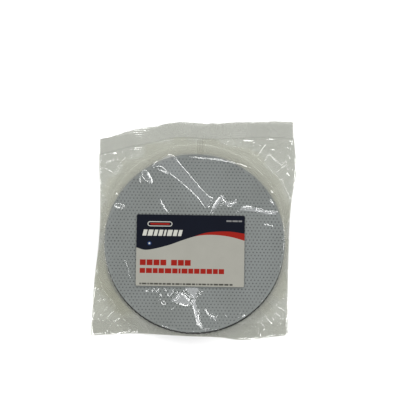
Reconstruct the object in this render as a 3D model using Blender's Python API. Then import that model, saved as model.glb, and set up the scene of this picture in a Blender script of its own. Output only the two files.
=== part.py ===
"""A round clay pad for paint decontamination, sealed in a clear flow-wrap bag.

The pack lies on its back: +Z is up, out of the label, and +Y points to the ribbed seal at the
upper end of the bag. The origin is the middle of the bag's footprint, on the surface it lies on.
"""

import math

import bmesh
import bpy
from mathutils import Matrix, Vector

MM = 0.001
GAP = 0.3 * MM  # air between neighbouring solids

# Clay pad
PAD_RADIUS = 75 * MM
LOOP_THICKNESS = 1.8 * MM
BOND_THICKNESS = 0.3 * MM
FOAM_THICKNESS = 8 * MM
CLAY_THICKNESS = 2 * MM
BOND_INSET = 0.4 * MM  # the adhesive stops short of the pad's rim
PAD_SEGMENTS = 96

# Bag film: thicker than the real 0.04 mm, so that it is a solid
FILM = 0.3 * MM
SHIFT_ROOM = 8 * MM  # how far the loose pad can move towards the upper seal
RIM_CLEARANCE = 0.8 * MM
TENT_RUN = 10 * MM  # the film leaves the rim and reaches the back film over this distance
FLANGE = 0.6 * MM  # least width of flat film outside the tent

# Heat seals
CRIMP_WIDTH = 13 * MM
CRIMP_RIDGES = 9
CRIMP_FILM = 0.35 * MM
TOP_RIDGE = 0.5 * MM
BOTTOM_RIDGE = 0.25 * MM
CRIMP_COLUMNS = 20
FIN_WIDTH = 6 * MM
FIN_THICKNESS = 0.6 * MM
FIN_ROOT_X = 1.6 * MM  # the two back panels meet here, measured from the pad's centre

# Label
LABEL_WIDTH = 90 * MM
LABEL_HEIGHT = 60 * MM
LABEL_THICKNESS = 0.2 * MM
LABEL_GLUE = 0.15 * MM
LABEL_GLUE_INSET = 1 * MM
LABEL_OFFSET = Vector((-3.5 * MM, -6.8 * MM))  # from the pad's centre
LABEL_TURN = math.radians(-0.9)
LABEL_CORNER = 1 * MM

# Corners and bends of the bag's four edges, in millimetres from the pad's centre
LEFT_EDGE = [(-79.8, 91), (-80.3, 71.5), (-79.3, 29), (-80.8, -3), (-83.8, -29), (-86.3, -76)]
BOTTOM_EDGE = [(-86.3, -76), (-67.8, -74.8), (-46.8, -74.2), (-10.8, -76.4), (21.2, -77.6), (40.2, -79.6)]
BOTTOM_EDGE += [(76.2, -75.9)]
RIGHT_EDGE = [(77.6, -74.6), (77.9, -37), (78.7, -7), (80, 23), (82, 41), (85.5, 64), (84, 90), (83.5, 104.5)]
TOP_EDGE = [(83.5, 104.5), (61.2, 105.5), (40.2, 105), (13.2, 103.8), (-6.8, 105.5), (-20.8, 104.5)]
TOP_EDGE += [(-36.8, 100.8), (-53.8, 97.5), (-79.8, 91)]
EDGE_STEPS = 4  # straight runs between two listed points

# Levels above the surface, from the bottom of the pack to its top
BACK_FILM_Z = FIN_THICKNESS + GAP
FLANGE_Z = BACK_FILM_Z + FILM + GAP
LOOP_Z = BACK_FILM_Z + FILM + GAP
LOOP_BOND_Z = LOOP_Z + LOOP_THICKNESS + GAP
FOAM_Z = LOOP_BOND_Z + BOND_THICKNESS + GAP
CLAY_BOND_Z = FOAM_Z + FOAM_THICKNESS + GAP
CLAY_Z = CLAY_BOND_Z + BOND_THICKNESS + GAP
PLATEAU_Z = CLAY_Z + CLAY_THICKNESS + GAP
LABEL_GLUE_Z = PLATEAU_Z + FILM + GAP
LABEL_Z = LABEL_GLUE_Z + LABEL_GLUE + GAP


def smooth_edge(points):
    """Points along a Catmull-Rom curve through the listed ones, in metres."""
    listed = [Vector(p) * MM for p in points]
    padded = [2 * listed[0] - listed[1]] + listed + [2 * listed[-1] - listed[-2]]
    curve = []
    for a, b, c, d in zip(padded, padded[1:], padded[2:], padded[3:]):
        for step in range(EDGE_STEPS):
            t = step / EDGE_STEPS
            bend = (2 * a - 5 * b + 4 * c - d) * t**2 + (3 * b - a - 3 * c + d) * t**3
            curve.append(0.5 * (2 * b + (c - a) * t + bend))
    return curve + [listed[-1]]


def height_at(edge, x):
    """The Y of an edge that runs across the bag, at the given X."""
    for p, q in zip(edge, edge[1:]):
        low, high = sorted((p.x, q.x))
        if low <= x <= high and high > low:
            return p.y + (q.y - p.y) * (x - p.x) / (q.x - p.x)
    nearest = min(edge, key=lambda p: abs(p.x - x))
    return nearest.y


TOP_CURVE = smooth_edge(TOP_EDGE)
BOTTOM_CURVE = smooth_edge(BOTTOM_EDGE)


def film_top(x):
    """The upper edge of the single film, where the ribbed seal begins."""
    return height_at(TOP_CURVE, x) - CRIMP_WIDTH - GAP


def film_outline():
    """The film panels' outline, anticlockwise from the upper left, without the ribbed seal."""
    left = [p for p in smooth_edge(LEFT_EDGE) if p.y < film_top(p.x) - GAP]
    right = [p for p in smooth_edge(RIGHT_EDGE) if p.y < film_top(p.x) - GAP]
    crossing = [p.x for p in TOP_CURVE if left[0].x < p.x < right[-1].x]
    top = [Vector((x, film_top(x))) for x in crossing]
    corners = [Vector((p.x, film_top(p.x))) for p in (right[-1], left[0])]
    return left + BOTTOM_CURVE[1:] + right + [corners[0]] + top + [corners[1]]


def bag_shift():
    """From the pad's centre to the middle of the bag's footprint."""
    edges = [smooth_edge(e) for e in (LEFT_EDGE, BOTTOM_EDGE, RIGHT_EDGE, TOP_EDGE)]
    xs = [p.x for edge in edges for p in edge]
    ys = [p.y for edge in edges for p in edge]
    return Vector(((min(xs) + max(xs)) / 2, (min(ys) + max(ys)) / 2, 0))


PAD_CENTRE = -bag_shift()


def material(name, colour, roughness, metallic=0.0, alpha=1.0):
    made = bpy.data.materials.new(name)
    made.use_nodes = True
    shader = made.node_tree.nodes["Principled BSDF"]
    shader.inputs["Base Color"].default_value = (*colour, 1)
    shader.inputs["Roughness"].default_value = roughness
    shader.inputs["Metallic"].default_value = metallic
    shader.inputs["Alpha"].default_value = alpha
    return made


def piece(name, bm, finish, parent, smooth=False):
    """An object from a bmesh drawn round the pad's centre, hung on a parent empty."""
    bmesh.ops.recalc_face_normals(bm, faces=bm.faces)
    mesh = bpy.data.meshes.new(name)
    bm.to_mesh(mesh)
    bm.free()
    mesh.materials.append(finish)
    if smooth:
        mesh.shade_smooth()
        mesh.set_sharp_from_angle(angle=math.radians(40))
    made = bpy.data.objects.new(name, mesh)
    bpy.context.scene.collection.objects.link(made)
    made.parent = parent
    return made


def joint_empty(name):
    """A carrier that stands at the pad's centre: its pieces slide along its Y axis, or stay put."""
    made = bpy.data.objects.new(name, None)
    made.location = PAD_CENTRE
    bpy.context.scene.collection.objects.link(made)
    return made


def disc(name, radius, bottom, thickness, edge, finish, parent):
    """A flat round layer with a rounded edge."""
    bm = bmesh.new()
    bmesh.ops.create_cone(
        bm,
        cap_ends=True,
        segments=PAD_SEGMENTS,
        radius1=radius,
        radius2=radius,
        depth=thickness,
        matrix=Matrix.Translation((0, 0, bottom + thickness / 2)),
    )
    made = piece(name, bm, finish, parent, smooth=True)
    if edge:
        rounding = made.modifiers.new("rounded_edge", "BEVEL")
        rounding.width = edge
        rounding.segments = 2
        rounding.limit_method = "ANGLE"
    return made


def plateau_reach(direction):
    """How far the raised film reaches from the pad's centre: the path of the sliding rim."""
    radius = PAD_RADIUS + RIM_CLEARANCE
    across, along = abs(direction.x), direction.y
    if along <= 0:
        return radius
    if radius * along <= SHIFT_ROOM * across:
        return radius / across
    return SHIFT_ROOM * along + math.sqrt(radius**2 - (SHIFT_ROOM * across) ** 2)


def ring(bm, points, z):
    return [bm.verts.new((p.x, p.y, z)) for p in points]


def bridge(bm, first, second):
    """Quads between two rings with the same number of points."""
    for i, a in enumerate(first):
        j = (i + 1) % len(first)
        bm.faces.new((a, first[j], second[j], second[i]))


def front_film(finish, parent):
    """One thin shell: flat over the pad, tented down all round it, flat out to the bag's edge."""
    outline = film_outline()
    inner_top, outer_top, inner_foot, outer_foot = [], [], [], []
    for point in outline:
        direction = point.normalized()
        top = plateau_reach(direction)
        foot = min(top + TENT_RUN, point.length - FLANGE)
        inner_top.append(direction * top)
        outer_top.append(direction * (top + FILM))
        inner_foot.append(direction * foot)
        outer_foot.append(direction * min(foot + FILM, point.length - FLANGE / 2))
    bm = bmesh.new()
    shell = [
        ring(bm, outer_top, PLATEAU_Z + FILM),
        ring(bm, outer_foot, FLANGE_Z + FILM),
        ring(bm, outline, FLANGE_Z + FILM),
        ring(bm, outline, FLANGE_Z),
        ring(bm, inner_foot, FLANGE_Z),
        ring(bm, inner_top, PLATEAU_Z),
    ]
    bm.faces.new(shell[0])
    bm.faces.new(shell[-1])
    for first, second in zip(shell, shell[1:]):
        bridge(bm, first, second)
    bmesh.ops.triangulate(bm, faces=bm.faces)
    return piece("bag_front_film", bm, finish, parent)


def back_film(name, side, finish, parent):
    """The back panel on one side of the fin seal: side is -1 for the left and 1 for the right."""
    bm = bmesh.new()
    bm.faces.new(ring(bm, film_outline(), BACK_FILM_Z))
    cut = Vector((FIN_ROOT_X + side * GAP / 2, 0, 0))
    bmesh.ops.bisect_plane(
        bm,
        geom=bm.verts[:] + bm.edges[:] + bm.faces[:],
        plane_co=cut,
        plane_no=(-side, 0, 0),
        clear_outer=True,
    )
    grown = bmesh.ops.extrude_face_region(bm, geom=bm.faces[:])
    raised = [v for v in grown["geom"] if isinstance(v, bmesh.types.BMVert)]
    bmesh.ops.translate(bm, vec=(0, 0, FILM), verts=raised)
    bmesh.ops.triangulate(bm, faces=bm.faces)
    return piece(name, bm, finish, parent)


def fin_seal(finish, parent):
    """The long back seal, folded flat to the right under the back film."""
    sides = (FIN_ROOT_X, FIN_ROOT_X + FIN_WIDTH)
    bottom = max(height_at(BOTTOM_CURVE, x) for x in sides) + CRIMP_WIDTH + 2 * GAP
    top = min(film_top(x) for x in sides)
    bm = bmesh.new()
    bmesh.ops.create_cube(
        bm,
        size=1,
        matrix=Matrix.LocRotScale(
            (FIN_ROOT_X + FIN_WIDTH / 2, (bottom + top) / 2, FIN_THICKNESS / 2),
            None,
            (FIN_WIDTH, top - bottom, FIN_THICKNESS),
        ),
    )
    return piece("back_fin_seal", bm, finish, parent)


def crimp(name, edge, inwards, left, right, ridge, finish, parent):
    """Two welded films pressed into ridges that run along an edge of the bag."""
    rows = 2 * CRIMP_RIDGES + 1
    bm = bmesh.new()
    upper, lower = [], []
    for column in range(CRIMP_COLUMNS + 1):
        x = left + (right - left) * column / CRIMP_COLUMNS
        start = height_at(edge, x)
        for row in range(rows):
            y = start + inwards * CRIMP_WIDTH * row / (rows - 1)
            z = ridge * (row % 2)
            lower.append(bm.verts.new((x, y, z)))
            upper.append(bm.verts.new((x, y, z + CRIMP_FILM)))
    for column in range(CRIMP_COLUMNS):
        for row in range(rows - 1):
            corner = column * rows + row
            quad = (corner, corner + 1, corner + rows + 1, corner + rows)
            bm.faces.new([upper[i] for i in quad])
            bm.faces.new([lower[i] for i in reversed(quad)])
    along = [c * rows for c in range(CRIMP_COLUMNS + 1)]
    rim = along + [along[-1] + r for r in range(1, rows)]
    rim += [i + rows - 1 for i in reversed(along[:-1])]
    rim += list(range(rows - 2, 0, -1))
    bridge(bm, [upper[i] for i in rim], [lower[i] for i in rim])
    return piece(name, bm, finish, parent)


def label_layer(name, inset, bottom, thickness, finish, parent):
    """A flat rectangle with small round corners, turned as the sticker is."""
    bm = bmesh.new()
    bmesh.ops.create_cube(
        bm,
        size=1,
        matrix=Matrix.Diagonal((LABEL_WIDTH - 2 * inset, LABEL_HEIGHT - 2 * inset, thickness, 1)),
    )
    upright = [e for e in bm.edges if abs(e.verts[0].co.z - e.verts[1].co.z) > thickness / 2]
    bmesh.ops.bevel(bm, geom=upright, offset=LABEL_CORNER, segments=3, affect="EDGES", profile=0.5)
    place = Matrix.Translation((*LABEL_OFFSET, bottom + thickness / 2))
    bmesh.ops.transform(bm, matrix=place @ Matrix.Rotation(LABEL_TURN, 4, "Z"), verts=bm.verts)
    return piece(name, bm, finish, parent)


def make_pad(parent):
    clay = material("moulded_clay", (0.27, 0.30, 0.31), 0.6)
    foam = material("black_foam", (0.012, 0.012, 0.014), 0.95)
    loop = material("loop_fabric", (0.03, 0.03, 0.032), 1.0)
    glue = material("laminating_adhesive", (0.55, 0.53, 0.45), 0.5)
    disc("loop_backing", PAD_RADIUS, LOOP_Z, LOOP_THICKNESS, 0.4 * MM, loop, parent)
    disc("loop_bond", PAD_RADIUS - BOND_INSET, LOOP_BOND_Z, BOND_THICKNESS, 0, glue, parent)
    disc("foam_core", PAD_RADIUS, FOAM_Z, FOAM_THICKNESS, 0.3 * MM, foam, parent)
    disc("clay_bond", PAD_RADIUS - BOND_INSET, CLAY_BOND_Z, BOND_THICKNESS, 0, glue, parent)
    disc("clay_face", PAD_RADIUS, CLAY_Z, CLAY_THICKNESS, 0.7 * MM, clay, parent)


def make_bag(parent):
    film = material("clear_film", (0.75, 0.76, 0.7), 0.12, alpha=0.35)
    weld = material("welded_film", (0.6, 0.61, 0.55), 0.25, alpha=0.6)
    front_film(film, parent)
    back_film("bag_back_film_left", -1, film, parent)
    back_film("bag_back_film_right", 1, film, parent)
    fin_seal(weld, parent)
    top_left, top_right = TOP_CURVE[-1].x, TOP_CURVE[0].x
    crimp("top_crimp_seal", TOP_CURVE, -1, top_left, top_right, TOP_RIDGE, weld, parent)
    low_left, low_right = BOTTOM_CURVE[0].x, BOTTOM_CURVE[-1].x
    crimp("bottom_crimp_seal", BOTTOM_CURVE, 1, low_left, low_right, BOTTOM_RIDGE, weld, parent)


def make_label(parent):
    paper = material("printed_label", (0.38, 0.38, 0.33), 0.55)
    glue = material("label_adhesive", (0.7, 0.69, 0.6), 0.3)
    label_layer("label_adhesive", LABEL_GLUE_INSET, LABEL_GLUE_Z, LABEL_GLUE, glue, parent)
    label_layer("label_face", 0, LABEL_Z, LABEL_THICKNESS, paper, parent)


def main():
    for old in list(bpy.data.objects):
        bpy.data.objects.remove(old)
    make_pad(joint_empty("sliding_pad"))
    bag = joint_empty("sealed_bag")
    make_bag(bag)
    make_label(bag)


main()
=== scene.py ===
"""The looks of the packed clay pad: crinkled clear film, dimpled clay on black foam, printed sticker.

Lengths are in metres, except in drawings laid out round the pad's centre, which are in millimetres
and say so. The pack lies on its back, +Z up, and +Y points to the ribbed seal at its upper end.
"""

import math

import bmesh
import bpy
import numpy as np
from mathutils import Matrix, Vector
from mathutils.geometry import delaunay_2d_cdt


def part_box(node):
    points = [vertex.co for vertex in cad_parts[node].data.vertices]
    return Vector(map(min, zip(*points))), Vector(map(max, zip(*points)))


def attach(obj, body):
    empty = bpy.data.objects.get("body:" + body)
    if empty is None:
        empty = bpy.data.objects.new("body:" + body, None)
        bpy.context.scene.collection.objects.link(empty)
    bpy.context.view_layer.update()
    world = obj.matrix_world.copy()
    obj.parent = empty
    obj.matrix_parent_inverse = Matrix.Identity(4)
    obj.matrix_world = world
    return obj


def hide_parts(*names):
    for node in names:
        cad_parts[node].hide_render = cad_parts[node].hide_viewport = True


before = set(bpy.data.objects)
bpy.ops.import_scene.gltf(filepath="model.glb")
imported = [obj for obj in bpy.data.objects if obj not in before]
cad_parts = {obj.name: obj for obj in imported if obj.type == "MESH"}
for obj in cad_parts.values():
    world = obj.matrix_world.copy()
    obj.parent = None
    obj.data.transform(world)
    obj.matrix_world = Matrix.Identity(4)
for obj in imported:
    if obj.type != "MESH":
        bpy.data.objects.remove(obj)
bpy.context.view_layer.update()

MM = 0.001
CLAY_LOW, CLAY_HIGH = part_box("clay_face")
FOAM_LOW, FOAM_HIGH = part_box("foam_core")
LOOP_LOW, LOOP_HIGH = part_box("loop_backing")
FILM_LOW, FILM_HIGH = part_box("bag_front_film")
BACK_LOW, BACK_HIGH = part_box("bag_back_film_left")
LABEL_LOW, LABEL_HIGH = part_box("label_face")
FIN_LOW, FIN_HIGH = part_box("back_fin_seal")

PAD = (CLAY_LOW + CLAY_HIGH) / 2
PAD_RADIUS = (CLAY_HIGH.x - CLAY_LOW.x) / 2 / MM  # millimetres, like all the drawings below

# Levels in millimetres
FILM_TOP = FILM_HIGH.z / MM - 0.15
FILM_FOOT = FILM_LOW.z / MM + 0.1
OVER_CLAY = CLAY_HIGH.z / MM + 0.15  # the front film nowhere sinks below this over the pad
SIDE_FOLD = BACK_HIGH.z / MM
BACK_LEVEL = BACK_LOW.z / MM + 0.12
LABEL_TOP = LABEL_HIGH.z / MM - 0.1
LABEL_THICKNESS = 0.14
GLUE_THICKNESS = 0.06
FILM_UNDER_LABEL = LABEL_TOP - LABEL_THICKNESS - GLUE_THICKNESS - 0.06

# Sticker, in millimetres
GLUE_INSET = 0.6  # from the sticker's edge
GLUE_GAP = 0.03
LABEL_SIZE = (90.0, 60.0)
LABEL_CORNER = 1.0
LABEL_TURN = math.radians(-0.9)
LABEL_CENTRE = (LABEL_LOW + LABEL_HIGH) / 2
LABEL_AT = ((LABEL_CENTRE.x - PAD.x) / MM, (LABEL_CENTRE.y - PAD.y) / MM)

# Camera and light
VIEW_TILT = math.radians(8.5)  # away from straight down, towards -Y
VIEW_DISTANCE = 2.3
VIEW_WIDTH = 0.3333  # what the picture spans at the pad's face
PAD_IN_VIEW = (-0.00455, -0.0357)  # the pad's centre from the picture's, at that span


# ---------------------------------------------------------------- curves and fields


def smooth_path(points, steps=6):
    """Points along a Catmull-Rom curve through the given ones."""
    listed = [np.array(p, float) for p in points]
    padded = [2 * listed[0] - listed[1]] + listed + [2 * listed[-1] - listed[-2]]
    curve = []
    for a, b, c, d in zip(padded, padded[1:], padded[2:], padded[3:]):
        for t in np.arange(steps) / steps:
            bend = (2 * a - 5 * b + 4 * c - d) * t**2 + (3 * b - a - 3 * c + d) * t**3
            curve.append(0.5 * (2 * b + (c - a) * t + bend))
    return np.array(curve + [listed[-1]])


def spaced_path(points, pitch):
    """The same line with points an even distance apart."""
    run = np.concatenate([[0], np.cumsum(np.hypot(*np.diff(points, axis=0).T))])
    count = max(2, int(round(run[-1] / pitch)) + 1)
    at = np.linspace(0, run[-1], count)
    return np.stack([np.interp(at, run, points[:, k]) for k in (0, 1)], axis=1)


def waves(x, y, length, seed, count=14):
    """A smooth random field of about unit size, its hills about half of length across."""
    rng = np.random.default_rng(seed)
    total = np.zeros_like(x)
    for _ in range(count):
        turn, phase = rng.uniform(0, math.tau, 2)
        scale = length * rng.uniform(0.7, 1.4)
        total += np.sin((x * math.cos(turn) + y * math.sin(turn)) * math.tau / scale + phase)
    return total / math.sqrt(count / 2)


def soft_step(value, start, end):
    t = np.clip((value - start) / (end - start), 0, 1)
    return t * t * (3 - 2 * t)


def near_path(x, y, path):
    """Each point's distance to a line, where along it from 0 to 1, and its side: 1 left, -1 right."""
    best, along, side = np.full(x.shape, np.inf), np.zeros(x.shape), np.ones(x.shape)
    for i, (a, b) in enumerate(zip(path, path[1:])):
        d = b - a
        t = np.clip(((x - a[0]) * d[0] + (y - a[1]) * d[1]) / max(d @ d, 1e-12), 0, 1)
        away = np.hypot(x - a[0] - t * d[0], y - a[1] - t * d[1])
        closer = away < best
        best[closer] = away[closer]
        along[closer] = (i + t[closer]) / (len(path) - 1)
        side[closer] = np.sign(d[0] * (y - a[1]) - d[1] * (x - a[0]))[closer]
    return best, along, side


# ---------------------------------------------------------------- the bag's plan, from the CAD film


SAME_DIRECTION = 0.002  # rim vertices closer than this, in radians, count as one
LEVEL_TOLERANCE = 0.01
SHORTEST_SHARE = 0.95  # of its neighbours' mean reach: a shorter direction lacks its outline vertex


def cad_ring(pick):
    """Reach of the CAD film in each direction round the pad, in millimetres, from rim vertices."""
    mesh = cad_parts["bag_front_film"].data
    co = np.array([v.co for v in mesh.vertices]) - np.array((PAD.x, PAD.y, 0))
    co /= MM
    level = FILM_HIGH.z / MM if pick == "plateau" else FILM_LOW.z / MM
    co = co[np.abs(co[:, 2] - level) < LEVEL_TOLERANCE]
    angle, reach = np.arctan2(co[:, 1], co[:, 0]), np.hypot(co[:, 0], co[:, 1])
    order = np.argsort(angle)
    groups = np.split(order, np.nonzero(np.diff(angle[order]) > SAME_DIRECTION)[0] + 1)
    choose = np.min if pick == "foot" else np.max
    angles = np.array([angle[g].mean() for g in groups])
    chosen = np.array([choose(reach[g]) for g in groups])
    beside = (np.roll(chosen, 1) + np.roll(chosen, -1)) / 2
    whole = chosen > SHORTEST_SHARE * beside
    return angles[whole], chosen[whole]


PLATEAU_RING, FOOT_RING, OUTLINE_RING = (cad_ring(p) for p in ("plateau", "foot", "outline"))


def reach_of(ring, x, y):
    return np.interp(np.arctan2(y, x), ring[0], ring[1], period=math.tau)


def label_frame(x, y):
    """Pad coordinates turned into the sticker's own, from its centre."""
    dx, dy = x - LABEL_AT[0], y - LABEL_AT[1]
    c, s = math.cos(LABEL_TURN), math.sin(LABEL_TURN)
    return dx * c + dy * s, dy * c - dx * s


def from_label_frame(u, v):
    """The other way round: from the sticker's own coordinates to the pad's."""
    c, s = math.cos(LABEL_TURN), math.sin(LABEL_TURN)
    return LABEL_AT[0] + u * c - v * s, LABEL_AT[1] + u * s + v * c


def off_label(x, y):
    """Distance from the sticker's edge, negative on it."""
    u, v = label_frame(x, y)
    du, dv = np.abs(u) - LABEL_SIZE[0] / 2, np.abs(v) - LABEL_SIZE[1] / 2
    outside = np.hypot(np.maximum(du, 0), np.maximum(dv, 0))
    return np.where(outside > 0, outside, np.maximum(du, dv))


# ---------------------------------------------------------------- creases in the film

CREASE_ZERO = np.array((-1.1, -0.35))  # where the creases below are drawn from, from the pad's centre
# Raised patches of film: how white each is painted (the lifted film's haze with a painted reflection of the
# room on it), how far its edge slopes out, and its corners
PUCKERS = [
    (0.05, 1.0, [(-20.5, 74.5), (-16.5, 73.5), (-12.5, 68), (-6.5, 61), (1, 52), (7.5, 44.5),
        (13, 39), (16, 37.5), (13.5, 33.5), (11.5, 29.5), (5.5, 37), (1, 42), (-6.5, 49),
        (-13.5, 55), (-18.5, 59), (-23, 62.5), (-26, 65), (-30, 65.5), (-34, 64.5), (-30, 69)]),
    (0.22, 0.45, [(38.5, 28), (42, 31), (45, 31.5), (50, 30), (60.5, 27.5), (68, 27), (70.5, 26.5),
        (68, 24.3), (62, 24.3), (58.5, 25.2), (52.5, 26.5), (46, 27), (42, 27.5)]),
    (0.22, 0.5, [(13.5, 24), (16, 28.5), (18.5, 34.5), (24.5, 40.5), (23.2, 37), (20.5, 32), (17, 28)]),
    (0.18, 0.5, [(26, 36), (29, 34.5), (32.5, 34), (34.5, 36.5), (36.5, 36.5), (35, 34), (33, 31.8),
        (29, 31), (26.5, 33)]),
    (0.05, 0.8, [(-41.5, 61.5), (-42.5, 59), (-41, 55), (-38, 52.5), (-35, 51.5), (-36, 56),
        (-39, 60.5)]),
    (0.22, 0.7, [(-10.6, -40.5), (-7, -44.5), (-2.3, -49.5), (-4.8, -51.2), (-12.5, -50),
        (-18, -48.3), (-14.5, -45)]),
    (0.07, 0.9, [(-16.8, -38), (-17.8, -37.8), (-20.8, -42.5), (-20, -43.8), (-18.6, -42.8),
        (-17, -40.5)]),
    (0.12, 0.5, [(14, -60), (19.8, -63), (18, -64.5)]),
    (0.26, 0.6, [(-7, -37.5), (-4, -41), (-0.5, -46), (1.2, -46), (3, -41.5), (3.6, -38)]),
    (0.32, 0.5, [(0.4, -46), (-0.2, -52), (1, -58), (2.6, -64), (4.4, -68), (4.8, -63), (3, -56),
        (1.8, -50)]),
]
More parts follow.
